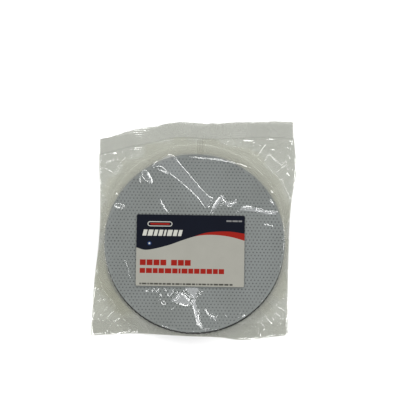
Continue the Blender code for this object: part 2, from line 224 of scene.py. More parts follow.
# Each fold: how far its left and right slopes reach from the crest, and the crest's points
FOLDS = [
    (0.8, 0.8, [(-30.5, 63), (-25.5, 61), (-19.5, 58.5)]),
    (1.0, 0.8, [(-17.5, 70.5), (-15.5, 70.5), (-13.5, 69.5)]),
    (1.7, 1.1, [(-39.5, 60), (-36.5, 56), (-35.5, 53), (-33.5, 50)]),
    (1.6, 1.2, [(-37.5, 54.5), (-36, 52)]),
    (0.8, 0.8, [(-45, 58), (-44.5, 53.5), (-43.5, 52), (-41, 54)]),
    (0.8, 0.8, [(-28, 38.5), (-26, 33.5), (-23, 28.5), (-21, 26), (-18.5, 27.5)]),
    (0.8, 0.8, [(-7, 73.5), (8.5, 71.8), (24, 70.3), (40, 66.3), (51.5, 61.8)]),
    (2.4, 0.9, [(15.6, 27.2), (18.5, 31.5), (21.5, 36), (25, 41)]),
    (0.8, 1.6, [(14.5, 24), (17, 28), (20.5, 31), (24.5, 34)]),
    (0.9, 1.8, [(24.5, 40.5), (26, 36.5), (29, 34.5)]),
    (0.9, 2.2, [(23.2, 35.5), (28.3, 34), (33, 34.5), (37.3, 36.3)]),
    (1.0, 1.6, [(13, 38.5), (14.5, 35), (12.5, 31.5), (11, 28.5)]),
    (1.0, 1.0, [(21.5, 29), (23.5, 31), (26.5, 33), (29, 30.5), (33, 31.5), (35, 34)]),
    (1.3, 1.6, [(36, 25.5), (38.5, 28), (41, 29.5), (45, 29.5)]),
    (1.8, 1.0, [(40, 28), (43, 30), (50, 29.5)]),
    (1.6, 2.0, [(50, 28.8), (56, 27.8), (62, 26), (69.5, 26)]),
    (0.7, 0.7, [(63.5, 37.5), (67.5, 32.5)]),
    (0.6, 0.6, [(58, 16), (68, 14.5)]),
    (2.0, 1.2, [(-5.5, -39), (-3, -42.5), (0, -46.5), (0.6, -51)]),
    (1.3, 1.6, [(7, -38.5), (4, -42.5), (1, -46.5), (0.5, -52)]),
    (1.3, 1.2, [(0, -43), (-0.5, -48), (0.5, -52), (1.5, -57), (3, -62.5), (4, -67.5), (6.5, -70),
        (10, -73.5)]),
    (0.8, 0.8, [(10, -73.5), (12.5, -75), (16, -76.5)]),
    (1.0, 0.9, [(-8.5, -37), (-7, -40.5), (-4, -43.5), (-1, -46.5)]),
    (0.9, 0.9, [(3, -38), (3, -40), (2.5, -43.5), (0, -47)]),
    (0.7, 0.7, [(0.8, -37), (0.8, -41), (-0.2, -46)]),
    (0.5, 2.0, [(5.5, -54.5), (5, -60), (5.5, -64), (7.5, -69)]),
    (0.5, 1.3, [(9.5, -72), (13, -71)]),
    (0.8, 0.8, [(10, -53.5), (10.5, -56.5), (12.5, -59.5), (15, -61), (17, -61.5)]),
    (1.9, 0.6, [(14, -62.5), (17, -63), (20.5, -62)]),
    (0.6, 0.6, [(26, -60), (28.5, -61.5)]),
    (1.9, 0.6, [(5.2, -43), (8.2, -40.8)]),
    (0.8, 2.4, [(14.2, -60), (17, -61), (20, -61)]),
    (1.8, 0.9, [(-17.5, -47.8), (-14, -45), (-11, -41)]),
    (1.0, 2.0, [(-16, -48.2), (-13, -46.3), (-11, -43)]),
    (1.2, 1.6, [(-10.6, -41), (-7, -44.5), (-2.3, -49.5)]),
    (1.0, 2.0, [(-12.5, -49.5), (-8, -51), (-4.8, -51.4), (-0.4, -49.5)]),
    (1.0, 1.0, [(-26.6, -42), (-27.8, -47)]),
    (1.8, 1.6, [(-26.2, -49), (-24.3, -51.3)]),
    (1.0, 0.9, [(-28.5, -37), (-30.2, -41.5)]),
    (1.0, 0.9, [(-38, -38.5), (-39, -41)]),
    (1.5, 0.9, [(-13, -40.5), (-14, -42), (-13.5, -43.5)]),
    (1.7, 0.7, [(-12.5, -43.5), (-14.5, -46), (-16, -48.5)]),
    (0.6, 0.6, [(-14.5, -52), (-19, -56.5)]),
    (1.2, 1.1, [(-25, -48), (-24.3, -50), (-22.5, -50.8)]),
    (0.8, 0.8, [(-27.5, -45.5), (-28.5, -48.5)]),
    (1.2, 1.0, [(-23, -37), (-22.5, -40.5)]),
    (0.9, 0.9, [(-31, -36.8), (-33, -38.5), (-34, -41.5)]),
    (1.6, 1.3, [(40.5, -61), (43, -61.5), (44, -64)]),
    (0.6, 0.6, [(40, -53), (38, -63.5)]),
    (1.0, 1.0, [(-65, 42), (-63, 41)]),
    (0.6, 0.6, [(-58, -12), (-54, -20), (-52, -30)]),
    (1.0, 0.9, [(-46, -64.5), (-49.5, -64.5), (-50, -67.5), (-46.5, -68)]),
    (0.7, 0.7, [(-43, -69), (-38, -70.5)]),
    # Upper right margin
    (0.6, 0.8, [(63.7, 80.6), (66.1, 76.1), (70.9, 71.3), (76.2, 68.1)]),
    (1.0, 0.7, [(44, 79), (48, 76.6)]),
    (0.5, 0.6, [(46.8, 75), (50.8, 71.3), (54.9, 67.3), (60.9, 64)]),
    (0.5, 0.5, [(64.5, 81.8), (69.3, 81.4)]),
    (0.5, 0.5, [(71.3, 77.4), (73.3, 77.8), (74.3, 79.8)]),
    (0.6, 0.5, [(78.5, 77), (82.2, 73.4)]),
    (0.4, 0.4, [(76.9, 84.7), (82.6, 81.8)]),
    (0.8, 0.6, [(78.1, 62), (79.8, 60.2), (81, 59)]),
    (0.5, 0.5, [(73.3, 56.7), (74.9, 53.9), (75.9, 50.7)]),
    (0.4, 0.4, [(59.9, 72.2), (60.1, 68.1)]),
    (1.1, 0.8, [(64.5, 44.5), (66.5, 42.5)]),
    (0.7, 0.7, [(72, 37), (74.5, 33.5)]),
    # Upper left margin
    (0.5, 0.5, [(-68.8, 84.8), (-64.5, 84.4), (-60.2, 82.7)]),
    (0.6, 0.5, [(-69.6, 82.7), (-67.5, 80)]),
    (0.7, 0.6, [(-66.6, 82.7), (-64.1, 79.2)]),
    (0.6, 0.6, [(-63.2, 81.4), (-61.1, 79.2), (-58, 79.2)]),
    (0.5, 0.5, [(-56.4, 82.2), (-52.9, 81.8)]),
    (0.8, 0.9, [(-73.9, 69.7), (-71.5, 71.5), (-68.4, 72.8), (-66.2, 74)]),
    (0.6, 0.6, [(-74.8, 67.5), (-73, 70)]),
    (0.6, 0.6, [(-68.8, 58), (-67, 61)]),
    (1.0, 0.8, [(-72.2, 50.7), (-70.5, 53.3), (-68.5, 54.6)]),
    (0.6, 0.6, [(-61.1, 58.9), (-59.3, 57.2)]),
    (0.5, 0.5, [(-62.3, 64.5), (-59.8, 67.1)]),
    (0.4, 0.5, [(-69.6, 56.7), (-64.1, 65.4), (-58.5, 74), (-51.7, 75.3)]),
    (0.5, 0.4, [(-47.4, 85.2), (-44.8, 87)]),
    (0.7, 0.7, [(-21.2, 83.9), (-19.9, 85.2)]),
    (0.5, 0.5, [(12, 90), (16, 89), (20, 89.5)]),
    (0.4, 0.5, [(-72, 78.5), (-54, 82), (-35, 85), (-15, 88)]),
    # Lower left margin
    (0.6, 0.6, [(-79.6, -35.6), (-79.2, -37.6)]),
    (0.6, 0.6, [(-79, -61), (-77.6, -63)]),
    (0.7, 0.6, [(-71.3, -61.2), (-69.3, -62.8)]),
    (0.6, 0.6, [(-73.1, -71.6), (-71.1, -72.8)]),
    (0.5, 0.5, [(-77.6, -57.3), (-75.6, -59.3)]),
    (0.4, 0.5, [(-78, -41), (-77, -46)]),
    (0.5, 0.5, [(-82.5, -54), (-82.3, -58)]),
    (0.4, 0.4, [(-55, -54.5), (-52.5, -57)]),
    # Lower right margin
    (0.7, 0.6, [(66.2, -55.7), (69.3, -57), (72.9, -60.8)]),
    (0.7, 0.6, [(70.4, -63.4), (73.8, -65.9)]),
    (0.6, 0.6, [(72.9, -68.5), (77.1, -67.5)]),
    (0.5, 0.6, [(54.4, -48.1), (61, -49.5), (68.7, -53.2)]),
    (0.5, 0.5, [(66, -60), (68, -64)]),
]
# A closed fold: its slopes' reach, centre, radii and turn
RING_FOLD = (0.8, (-61.5, 31.5), (4.1, 1.6), math.radians(-8))
FOLD_RISE = 0.31  # a fold's height for each unit of its wider slope's reach
# Where tension folds run from the rim out to a corner: start and end in degrees, and how many
CORNER_FANS = [
    (118, 150, 4),
    (30, 60, 4),
    (203, 240, 6),
    (300, 335, 8),
]
# Groups of little puckers. Each: centre, spread and how many
SPARKLES = [
    (-68, 72, 8, 7), (-45, 84, 9, 6), (-8, 88, 20, 7), (44, 80, 12, 8), (76, 70, 8, 7), (80, 34, 3, 5),
    (78, 5, 3, 3), (79, -38, 3, 4), (70, -62, 6, 6), (-74, -60, 8, 6), (-60, -70, 8, 5), (-80, -20, 3, 4),
    (-78, 12, 2, 3),
]
FOLD_SEED = 5
SPARKLE_SEED = 11


def crest(points):
    return spaced_path(smooth_path(points), 0.7)


def drawn_crest(points, closed=False):
    return crest([p + CREASE_ZERO for p in points + points[: int(closed)]])


def is_inside(x, y, loop):
    """True for the points within a closed line."""
    found = np.zeros(x.shape, bool)
    for (ax, ay), (bx, by) in zip(loop, loop[1:]):
        if ay != by:
            found ^= ((ay > y) != (by > y)) & (x < (bx - ax) * (y - ay) / (by - ay) + ax)
    return found


def ring_fold():
    reach, centre, radii, lean = RING_FOLD
    turn = np.linspace(0, math.tau, 25)
    loop = turned(np.stack([radii[0] * np.cos(turn), radii[1] * np.sin(turn)], axis=1), lean)
    return reach, reach, loop + centre + CREASE_ZERO


def span_at(turn):
    """Reach of the raised film and of the bag's edge in one direction."""
    x, y = np.array(math.cos(turn)), np.array(math.sin(turn))
    return float(reach_of(PLATEAU_RING, x, y)), float(reach_of(OUTLINE_RING, x, y))


def corner_folds():
    """Long low folds that fan out from the pad's rim towards each corner of the bag."""
    rng = np.random.default_rng(FOLD_SEED)
    made = []
    for start, end, count in CORNER_FANS:
        for k in range(count):
            turn = math.radians(start + (end - start) * (k + rng.uniform(0.2, 0.8)) / count)
            rim, edge = span_at(turn)
            inner, outer = rim + rng.uniform(0, 4), rim + (edge - rim) * rng.uniform(0.5, 0.95)
            sway, reach = rng.uniform(-0.07, 0.07), rng.uniform(0.35, 0.8)
            if outer - inner < 4:
                continue
            points = []
            for t in (0, 0.35, 0.7, 1):
                r, a = inner + (outer - inner) * t, turn + sway * t * t
                points.append((r * math.cos(a), r * math.sin(a)))
            made.append((reach, reach * rng.uniform(0.6, 1.4), crest(points)))
    return made


def sparkle_folds():
    """Short hooked puckers over the flat margins of the bag."""
    rng = np.random.default_rng(SPARKLE_SEED)
    made = []
    for x, y, spread, count in SPARKLES:
        for _ in range(count):
            points = [(x + rng.normal(0, spread / 2), y + rng.normal(0, spread / 2))]
            heading, bend, size = rng.uniform(0, math.tau), rng.uniform(-1.4, 1.4), rng.uniform(1, 4.5)
            reach = rng.uniform(0.25, 0.5)
            for _ in range(3):
                heading += bend / 2
                (last_x, last_y), step = points[-1], size / 2
                points.append((last_x + step * math.cos(heading), last_y + step * math.sin(heading)))
            rim, edge = span_at(math.atan2(points[0][1], points[0][0]))
            if rim + 0.5 < math.hypot(*points[0]) < edge - 1:
                made.append((reach, reach, crest(points)))
    return made


def turned(points, angle):
    c, s = math.cos(angle), math.sin(angle)
    return np.stack([points[:, 0] * c - points[:, 1] * s, points[:, 0] * s + points[:, 1] * c], axis=1)


def flank(t):
    """Height across a fold's side, from 1 at the crest to 0 at the foot: straight, both ends softened."""
    ends = 0.15
    t = np.clip(t, 0, 1)
    run = np.where(t < ends, t * t / (2 * ends), t - ends / 2)
    run = np.where(t > 1 - ends, 1 - ends - (1 - t) ** 2 / (2 * ends), run)
    return 1 - run / (1 - ends)


def close_to(x, y, path, margin):
    """True for the points in a line's box, widened by a margin."""
    low, high = path.min(0) - margin, path.max(0) + margin
    return (x > low[0]) & (x < high[0]) & (y > low[1]) & (y < high[1])


def fold_lift(x, y):
    """Height of the folds over the smooth film."""
    lift = np.zeros_like(x)
    for left, right, path in ALL_FOLDS:
        near = close_to(x, y, path, max(left, right) * 1.5)
        if not near.any():
            continue
        away, along, side = near_path(x[near], y[near], path)
        closed = np.allclose(path[0], path[-1])
        taper = 1.0 if closed else 0.25 + 0.75 * soft_step(np.minimum(along, 1 - along), 0, 0.2)
        reach = np.where(side > 0, left, right) * taper
        rise = FOLD_RISE * max(left, right) * taper
        lift[near] = np.maximum(lift[near], rise * flank(away / reach))
    for _, slope, loop in ALL_PUCKERS:
        near = close_to(x, y, loop, 2 * slope)
        if near.any():
            u, v = x[near], y[near]
            away = np.where(is_inside(u, v, loop), 0, near_path(u, v, loop)[0])
            lift[near] = np.maximum(lift[near], FOLD_RISE * slope * flank(away / slope))
    return lift


ALL_FOLDS = [(left, right, drawn_crest(points)) for left, right, points in FOLDS]
ALL_FOLDS += [ring_fold(), *corner_folds(), *sparkle_folds()]
ALL_PUCKERS = [(haze_and_painted_light, slope, drawn_crest(points, closed=True)) for haze_and_painted_light, slope, points in PUCKERS]


# Extra diffuse film, as shares: painted shade in the band round the pad, haze over the margins, more cream
# over the lower-left margin
BAND_SHADE = 0.26
MARGIN_VEIL = 0.06
LOWER_LEFT_CREAM = 0.14
# a painted reflection: the film made milkier over the pad's lower part, where it shows lighter
LOWER_PAD_SHEEN = 0.025  # over the lower part of the pad


def film_haze_shade_and_sheen(x, y):
    """How much more diffuse and cream the film is made: painted shade in the band round the pad (the pad's
    shadow seen cream through the film), haze over the margins, more cream lower left, and painted reflections
    over the pad's lower part and the raised patches.
    """
    r = np.hypot(x, y)
    foot = reach_of(FOOT_RING, x, y)
    ragged = 2.2 * waves(x, y, 21, 91) + 0.8 * waves(x, y, 6, 92)
    past_rim = soft_step(r - PAD_RADIUS, 0.1, 1.2)
    band = past_rim * (1 - soft_step(r - foot - ragged, -4, 3))
    haze_shade_and_sheen = band * BAND_SHADE + past_rim * (1 - band) * MARGIN_VEIL
    lower_left = soft_step(-x, 30, 60) * soft_step(-y, 5, 35)
    haze_shade_and_sheen *= soft_step(y, -66, -50) * 0.8 + 0.2
    haze_shade_and_sheen += past_rim * lower_left * LOWER_LEFT_CREAM
    lower_pad = (1 - past_rim) * soft_step(-y, 35, 60)
    return np.maximum(haze_shade_and_sheen, np.maximum(film_crumple_sheen(x, y), LOWER_PAD_SHEEN * lower_pad))


def film_crumple_sheen(x, y):
    """How white the raised patches are painted: the lifted film's haze, with a painted reflection of the room
    on it.
    """
    crumple_sheen = np.zeros_like(x)
    for haze_and_painted_light, _, loop in ALL_PUCKERS:
        crumple_sheen = np.maximum(crumple_sheen, haze_and_painted_light * is_inside(x, y, loop))
    return crumple_sheen


def film_cling(x, y):
    """Where the film is drawn tight down the pad's lower side, and so has no gloss or haze of its own."""
    past = np.hypot(x, y) - PAD_RADIUS
    return soft_step(-y, 8, 30) * soft_step(past, -0.4, -0.1) * (1 - soft_step(past, 1.9, 2.6))


def film_dull(x, y):
    """Where the film has lost its gloss: that side, and the long slope round the pad."""
    r = np.hypot(x, y)
    plateau, foot = reach_of(PLATEAU_RING, x, y), reach_of(FOOT_RING, x, y)
    slope = soft_step(r - plateau, -2.4, -0.9) * (1 - soft_step(r - foot, 0.5, 2.5))
    return np.maximum(film_cling(x, y), slope * 0.85)


def seal_edge(node, pick):
    """A ribbed seal's outer edge as the CAD has it: its Y at each X, in millimetres."""
    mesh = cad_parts[node].data
    co = (np.array([v.co for v in mesh.vertices]) - np.array((PAD.x, PAD.y, 0))) / MM
    xs = np.unique(np.round(co[:, 0], 2))
    return xs, np.array([pick(co[np.abs(co[:, 0] - x) < 0.02, 1]) for x in xs])


SEAL_EDGES = {"top": seal_edge("top_crimp_seal", np.max), "bottom": seal_edge("bottom_crimp_seal", np.min)}
SEAL_WIDTH = 13.4
RIBBED_FILM = 6.0  # the ribs fade out this far below the upper seal
RIB_PITCH = 1.7
FIN_RIB_PITCH = 1.8
RIB_RISE = 0.07
CRIMP_FILM = 0.09  # the two end seals' thickness
FIN_FILM = 0.12
SEAL_FLOOR = 0.12  # no end seal sags below this

# The front film's waviness over the pad and over the margins. Each: height, length and seed
PAD_RELIEF = [(0.10, 26, 1), (0.035, 7, 2)]
MARGIN_RELIEF = [(0.16, 17, 3), (0.06, 5, 4)]
MARGIN_LIFT = 0.25
PLEAT_HEIGHT = 0.22  # of the small upright pleats in the slope round the pad
TENT_POWER = 1.35  # how much steeper that slope starts than a straight one


def ribs(x, y):
    """Fine ridges that the sealing jaws leave across the bag."""
    strength = 0.55 + 0.45 * waves(x, y * 0.4, 34, 61)
    return RIB_RISE * strength * np.cos((y + 0.03 * x) * math.tau / RIB_PITCH)


def under_seal(x, y):
    """How far below the upper seal a point lies, in millimetres."""
    return (np.interp(x, *SEAL_EDGES["top"]) - SEAL_WIDTH) - y


def relief(x, y, layers):
    return sum(height * waves(x, y, length, seed) for height, length, seed in layers)


def film_height(x, y):
    """The front film's level in millimetres."""
    r = np.hypot(x, y)
    plateau, foot, edge = (reach_of(ring, x, y) for ring in (PLATEAU_RING, FOOT_RING, OUTLINE_RING))
    run = np.maximum(foot - plateau, 0.6) * (0.86 + 0.1 * waves(x, y, 30, 12) * (foot - plateau > 4))
    soften = np.minimum(0.3, (0.3 * run) ** 2)
    past_rim = (np.sqrt((r - plateau) ** 2 + soften) + (r - plateau)) / 2
    t = np.clip(past_rim / run, 0, 1)
    tent = 1 - (1 - t) ** TENT_POWER
    label = 1 - soft_step(off_label(x, y), 0.6, 10)
    top = FILM_TOP + (FILM_UNDER_LABEL - FILM_TOP) * label
    free = soft_step(off_label(x, y), 0.3, 2.2)
    on_pad = 1 - soft_step(r - plateau, -3, 0.5)
    z = top + (FILM_FOOT - top) * tent
    z += free * on_pad * relief(x, y, PAD_RELIEF)
    margin = soft_step(r - plateau, 1, 5)
    arc = np.arctan2(y, x) * PAD_RADIUS
    pleats = waves(arc, r * 0.3, 5.5, 13) * soft_step(t, 0.02, 0.5) * (1 - soft_step(t, 0.8, 1)) * (run > 4)
    z += margin * (MARGIN_LIFT + relief(x, y, MARGIN_RELIEF)) + PLEAT_HEIGHT * pleats
    z += free * fold_lift(x, y)
    z += ribs(x, y) * (1 - soft_step(under_seal(x, y), 1, RIBBED_FILM))
    z = np.maximum(z, np.where(r < PAD_RADIUS, OVER_CLAY, SIDE_FOLD + MARGIN_LIFT))
    fall = np.minimum(1.6 + 4 * soft_step(y, 68, 84), np.maximum(edge - PAD_RADIUS - 0.1, 0.5))
    to_edge = soft_step(edge - r, 0, fall)
    return SIDE_FOLD + (z - SIDE_FOLD) * to_edge


# ---------------------------------------------------------------- meshes


ROUND_THE_BAG = (-95, -95), (95, 105)  # a box's low and high corners
ROUND_THE_RIBS = (-84, 70), (88, 96)


def outline_loop(pitch=0.8):
    angles, reach = OUTLINE_RING
    points = np.stack([np.cos(angles) * reach, np.sin(angles) * reach], axis=1)
    return spaced_path(np.vstack([points, points[:1]]), pitch)[:-1]


def hex_grid(pitch, low, high):
    rows = np.arange(low[1], high[1], pitch * math.sqrt(0.75))
    points = []
    for i, y in enumerate(rows):
        x = np.arange(low[0] + (i % 2) * pitch / 2, high[0], pitch)
        points.append(np.stack([x, np.full(len(x), y)], axis=1))
    return np.vstack(points)


def ring_points(reach, offset, pitch=0.9):
    angles, radius = reach
    fine = np.linspace(-math.pi, math.pi, int(math.tau * (PAD_RADIUS + 1) / pitch), endpoint=False)
    r = np.interp(fine, angles, radius, period=math.tau) + offset
    return np.stack([np.cos(fine) * r, np.sin(fine) * r], axis=1)


def fold_points():
    """Rows of points along every fold, close enough across it to follow its slopes."""
    rows = []
    for left, right, path in ALL_FOLDS + [(slope, slope, loop) for _, slope, loop in ALL_PUCKERS]:
        ahead = np.gradient(path, axis=0)
        normal = np.stack([-ahead[:, 1], ahead[:, 0]], axis=1)
        normal /= np.maximum(np.linalg.norm(normal, axis=1, keepdims=True), 1e-9)
        for share in (0, 0.2, 0.35, 0.65, 0.82, 1.1):
            rows.append(path + normal * share * left)
            rows.append(path - normal * share * right)
    return np.vstack(rows)


def thinned(points, cell=0.14):
    """One point for each small square, so that no two lie too near."""
    _, first = np.unique(np.round(points / cell).astype(int), axis=0, return_index=True)
    return points[np.sort(first)]


def flat_mesh(loop, points):
    """Triangles over the inside of a loop, through the given points: vertices and faces."""
    listed = [Vector(p) for p in np.vstack([loop, points])]
    result = delaunay_2d_cdt(listed, [], [list(range(len(loop)))], 1, 1e-5)
    return np.array([tuple(v) for v in result[0]]), result[2]


def object_from(name, vertices, faces, finish, smooth=True):
    """A new object from points in millimetres round the pad's centre."""
    mesh = bpy.data.meshes.new(name)
    world = np.array(vertices, float) * MM + np.array((PAD.x, PAD.y, 0))
    mesh.from_pydata([tuple(p) for p in world], [], faces)
    mesh.validate()
    if smooth:
        mesh.shade_smooth()
    for m in finish if isinstance(finish, list) else [finish]:
        mesh.materials.append(m)
    made = bpy.data.objects.new(name, mesh)
    bpy.context.scene.collection.objects.link(made)
    return made


def grid_object(name, x, y, z, finish):
    """A sheet of four-sided faces through points laid out in columns and rows."""
    columns, rows = x.shape
    faces = []
    for i in range(columns - 1):
        for j in range(rows - 1):
            k = i * rows + j
            faces.append((k, k + rows, k + rows + 1, k + 1))
    vertices = np.column_stack([x.ravel(), y.ravel(), z.ravel()])
    return clean_normals(object_from(name, vertices, faces, finish))


def clean_normals(made):
    bm = bmesh.new()
    bm.from_mesh(made.data)
    loose = [v for v in bm.verts if not v.link_faces]
    bmesh.ops.delete(bm, geom=loose, context="VERTS")
    bmesh.ops.recalc_face_normals(bm, faces=bm.faces)
    bm.to_mesh(made.data)
    bm.free()
    return made


def solidify(made, thickness, offset=-1.0):
    grown = made.modifiers.new("thickness", "SOLIDIFY")
    grown.thickness = thickness * MM
    grown.offset = offset
    return made


def inside(points, margin):
    r = np.hypot(points[:, 0], points[:, 1])
    return points[r < reach_of(OUTLINE_RING, points[:, 0], points[:, 1]) - margin]


def make_front_film(finish):
    grid = hex_grid(1.7, *ROUND_THE_BAG)
    rims = [ring_points(PLATEAU_RING, o) for o in (-2, -1, -0.4, 0, 0.4, 0.9, 1.8, 3)]
    ribbed = hex_grid(0.5, *ROUND_THE_RIBS)
    ribbed = ribbed[under_seal(*ribbed.T) < RIBBED_FILM]
    points = thinned(inside(np.vstack([fold_points(), *rims, ribbed, grid]), 0.4))
    flat, faces = flat_mesh(outline_loop(), points)
    z = film_height(flat[:, 0], flat[:, 1])
    made = clean_normals(object_from("film_front", np.column_stack([flat, z]), faces, finish))
    x, y = (np.array([v.co for v in made.data.vertices])[:, :2] / MM - np.array((PAD.x, PAD.y)) / MM).T
    looks = {"haze_shade_and_sheen": film_haze_shade_and_sheen, "crumple_sheen": film_crumple_sheen, "cling": film_cling, "dull": film_dull}
    for look, field in looks.items():
        made.data.attributes.new(look, "FLOAT", "POINT").data.foreach_set("value", field(x, y))
    return made


SEAM_GAP = 0.02  # from the fin seal's root to either back panel


def make_back_film(finish):
    """The two back panels, parted along the fin seal's root."""
    root = (FIN_LOW.x - PAD.x) / MM
    loop = outline_loop()
    grid = inside(hex_grid(3, *ROUND_THE_BAG), 0.8)
    made = []
    for name, side in (("film_back_left", -1), ("film_back_right", 1)):
        keep = loop[(loop[:, 0] - root) * side > 0.2]
        start = next(i for i in range(len(keep)) if np.hypot(*(keep[i] - keep[i - 1])) > 20)
        keep = np.roll(keep, -start, axis=0)
        seam_x = root + SEAM_GAP * side
        seam = spaced_path(np.array([(seam_x, keep[-1][1]), (seam_x, keep[0][1])]), 3)
        edge = np.vstack([keep, seam])
        points = grid[(grid[:, 0] - root) * side > 1]
        flat, faces = flat_mesh(edge, points)
        x, y = flat.T
        to_edge = soft_step(reach_of(OUTLINE_RING, x, y) - np.hypot(x, y), 0, 1.6)
        z = SIDE_FOLD + (BACK_LEVEL + 0.05 * waves(x, y, 19, 6) - SIDE_FOLD) * to_edge
        made.append(clean_normals(object_from(name, np.column_stack([flat, z]), faces, finish)))
    return made


def make_seal(end, width, inwards, level, curl, seed, finish):
    """Two welded layers of film along one end of the bag, finely ribbed."""
    edge = SEAL_EDGES[end]
    columns = np.arange(edge[0][0], edge[0][-1] + 0.01, 0.7)
    x, t = np.meshgrid(columns, np.linspace(0, 1, 50), indexing="ij")
    ragged = 0.3 * (waves(x, x * 0, 31, seed) + 0.4 * waves(x, x * 0, 9, seed + 1))
    y = np.interp(x, *edge) + inwards * (width * t - ragged * (1 - t))
    z = level + ribs(x, y) + 0.05 * waves(x, y, 11, seed + 4)
    z += curl * (1 - t) ** 2 * (0.6 + 0.5 * waves(x, y * 0, 43, seed + 3))
    z = np.maximum(z, SEAL_FLOOR)
    return solidify(grid_object(f"{end}_seal", x, y, z, finish), CRIMP_FILM, 0.0)


def make_fin(finish):
    """The folded back seal: a narrow double strip with fine ridges across it."""
    low, high = (FIN_LOW - PAD) / MM, (FIN_HIGH - PAD) / MM
    x, y = np.meshgrid(np.linspace(low.x, high.x, 9), np.arange(low.y, high.y, 0.6), indexing="ij")
    z = FIN_HIGH.z / MM / 2 + RIB_RISE * np.cos(y * math.tau / FIN_RIB_PITCH) + 0.05 * waves(x, y, 21, 8)
    x = np.clip(x + 0.18 * waves(x * 0, y, 33, 9), low.x, high.x)
    return solidify(grid_object("fin_seal", x, y, z, finish), FIN_FILM, 0.0)


# ---------------------------------------------------------------- the pad

DIMPLE_PITCH = 3.0
DIMPLE_RADIUS = 0.68
DIMPLE_DEPTH = 0.55
DIMPLE_MARGIN = 0.5
DIMPLE_TURN = math.radians(-1.0)
# A dimple's rings from its centre out. Each: share of its radius, points round it, share of its depth
DIMPLE_RINGS = [(0.0, 1, 1.0), (0.5, 6, 0.92), (0.85, 9, 0.45), (1.05, 9, 0.06), (1.4, 9, 0.0)]
RIM_ROUND = 0.6
INTO_BOND = 0.25  # how far the clay reaches down past its CAD solid, into the gap above the glue
RIM_POINTS = 420
SHARP_RIM = math.radians(50)


def circle(radius, count, phase=0.0):
    a = (np.arange(count) + phase) / count * math.tau
    return np.stack([np.cos(a) * radius, np.sin(a) * radius], axis=1)


def join_rings(faces, a, b):
    """Faces between two rings of vertex numbers. A ring of one is a centre."""
    count = max(len(a), len(b))
    for i in range(count):
        j = (i + 1) % count
        if len(a) == 1:
            faces.append((a[0], b[i], b[j]))
        elif len(b) == 1:
            faces.append((a[i], b[0], a[j]))
        else:
            faces.append((a[i], b[i], b[j], a[j]))


def make_clay(finish):
    """The moulded face: a disc with a rounded rim, its top set with rows of round dimples."""
    top = CLAY_HIGH.z / MM
    centres = turned(hex_grid(DIMPLE_PITCH, (-80, -80), (80, 80)), DIMPLE_TURN)
    centres = centres[np.hypot(centres[:, 0], centres[:, 1]) < PAD_RADIUS - DIMPLE_MARGIN - DIMPLE_RADIUS]
    flat_parts, deep_parts = [], []
    for share, count, depth in DIMPLE_RINGS:
        ring = circle(DIMPLE_RADIUS * share, count, 0.5) if count > 1 else np.zeros((1, 2))
        spots = (centres[:, None, :] + ring[None, :, :]).reshape(-1, 2)
        flat_parts.append(spots)
        deep_parts.append(np.full(len(spots), depth))
    loop = circle(PAD_RADIUS - RIM_ROUND, RIM_POINTS)
    flat_parts.append(circle(PAD_RADIUS - RIM_ROUND - 0.6, RIM_POINTS // 2))
    deep_parts.append(np.zeros(RIM_POINTS // 2))
    points, depth = np.vstack(flat_parts), np.concatenate(deep_parts)
    flat, faces = flat_mesh(loop, points)
    z = np.full(len(flat), top)
    z[RIM_POINTS:] -= depth * DIMPLE_DEPTH
    z += 0.03 * waves(flat[:, 0], flat[:, 1], 40, 21)
    vertices = [tuple(p) for p in np.column_stack([flat, z])]
    faces = [tuple(f) for f in faces]
    drop = [(math.sin(a) * RIM_ROUND, (1 - math.cos(a)) * RIM_ROUND) for a in np.radians((22, 45, 68, 90))]
    under = top - CLAY_LOW.z / MM + INTO_BOND
    drop += [(RIM_ROUND, under), (RIM_ROUND - 0.7, under)]
    previous = list(range(RIM_POINTS))
    for out, down in drop:
        ring = circle(PAD_RADIUS - RIM_ROUND + out, RIM_POINTS)
        first = len(vertices)
        vertices += [(p[0], p[1], top - down) for p in ring]
        here = list(range(first, first + RIM_POINTS))
        join_rings(faces, previous, here)
        previous = here
    faces.append(tuple(reversed(previous)))
    made = clean_normals(object_from("clay_disc", vertices, faces, finish))
    made.data.set_sharp_from_angle(angle=SHARP_RIM)
    return made


def lathe(name, profile, wobble, finish, count=900):
    """A turned closed body. profile: radius and level pairs from the top centre down to the bottom's."""
    turn = np.arange(count) / count * math.tau
    vertices, faces, rings = [], [], []
    for k, (radius, level) in enumerate(profile):
        if radius == 0:
            rings.append([len(vertices)])
            vertices.append((0.0, 0.0, level))
            continue
        r, z = wobble(turn, np.full(count, radius), np.full(count, level), k)
        rings.append(list(range(len(vertices), len(vertices) + count)))
        vertices += list(zip(r * np.cos(turn), r * np.sin(turn), z))
    for a, b in zip(rings, rings[1:]):
        join_rings(faces, a, b)
    return clean_normals(object_from(name, vertices, faces, finish))


FOAM_FLARE = 0.7  # how far the foam's cut edge bulges under the clay, on the side pressed by the film


def make_foam(finish):
    """The foam disc, its cut edge open-pored and a little scalloped."""
    top, low = FOAM_HIGH.z / MM, FOAM_LOW.z / MM
    levels = np.linspace(top, low, 20)
    profile = [(0, top), (PAD_RADIUS - 6, top), (PAD_RADIUS - 1, top)]
    profile += [(PAD_RADIUS - 0.35, z) for z in levels]
    profile += [(PAD_RADIUS - 1, low), (PAD_RADIUS - 6, low), (0, low)]

    def wobble(turn, radius, level, k):
        if radius[0] < PAD_RADIUS - 0.5 or k == 2:
            return radius, level
        arc = turn * PAD_RADIUS
        pores = waves(arc, level, 1.5, 31, 20) + 0.7 * waves(arc, level, 0.8, 32, 20)
        low_down = soft_step(-level, -top, -top + 5)
        scallop = 0.2 * (1 + np.sin(arc * math.tau / 4.71)) + 0.12 * np.abs(waves(arc, level * 0, 9, 33))
        bulge = FOAM_FLARE * soft_step(top - level, 0, 3) * soft_step(-np.sin(turn), -0.15, 0.5)
        return radius + bulge + 0.2 - 0.1 * np.abs(pores) - scallop * (0.35 + 0.65 * low_down), level

    return lathe("foam_disc", profile, wobble, finish)


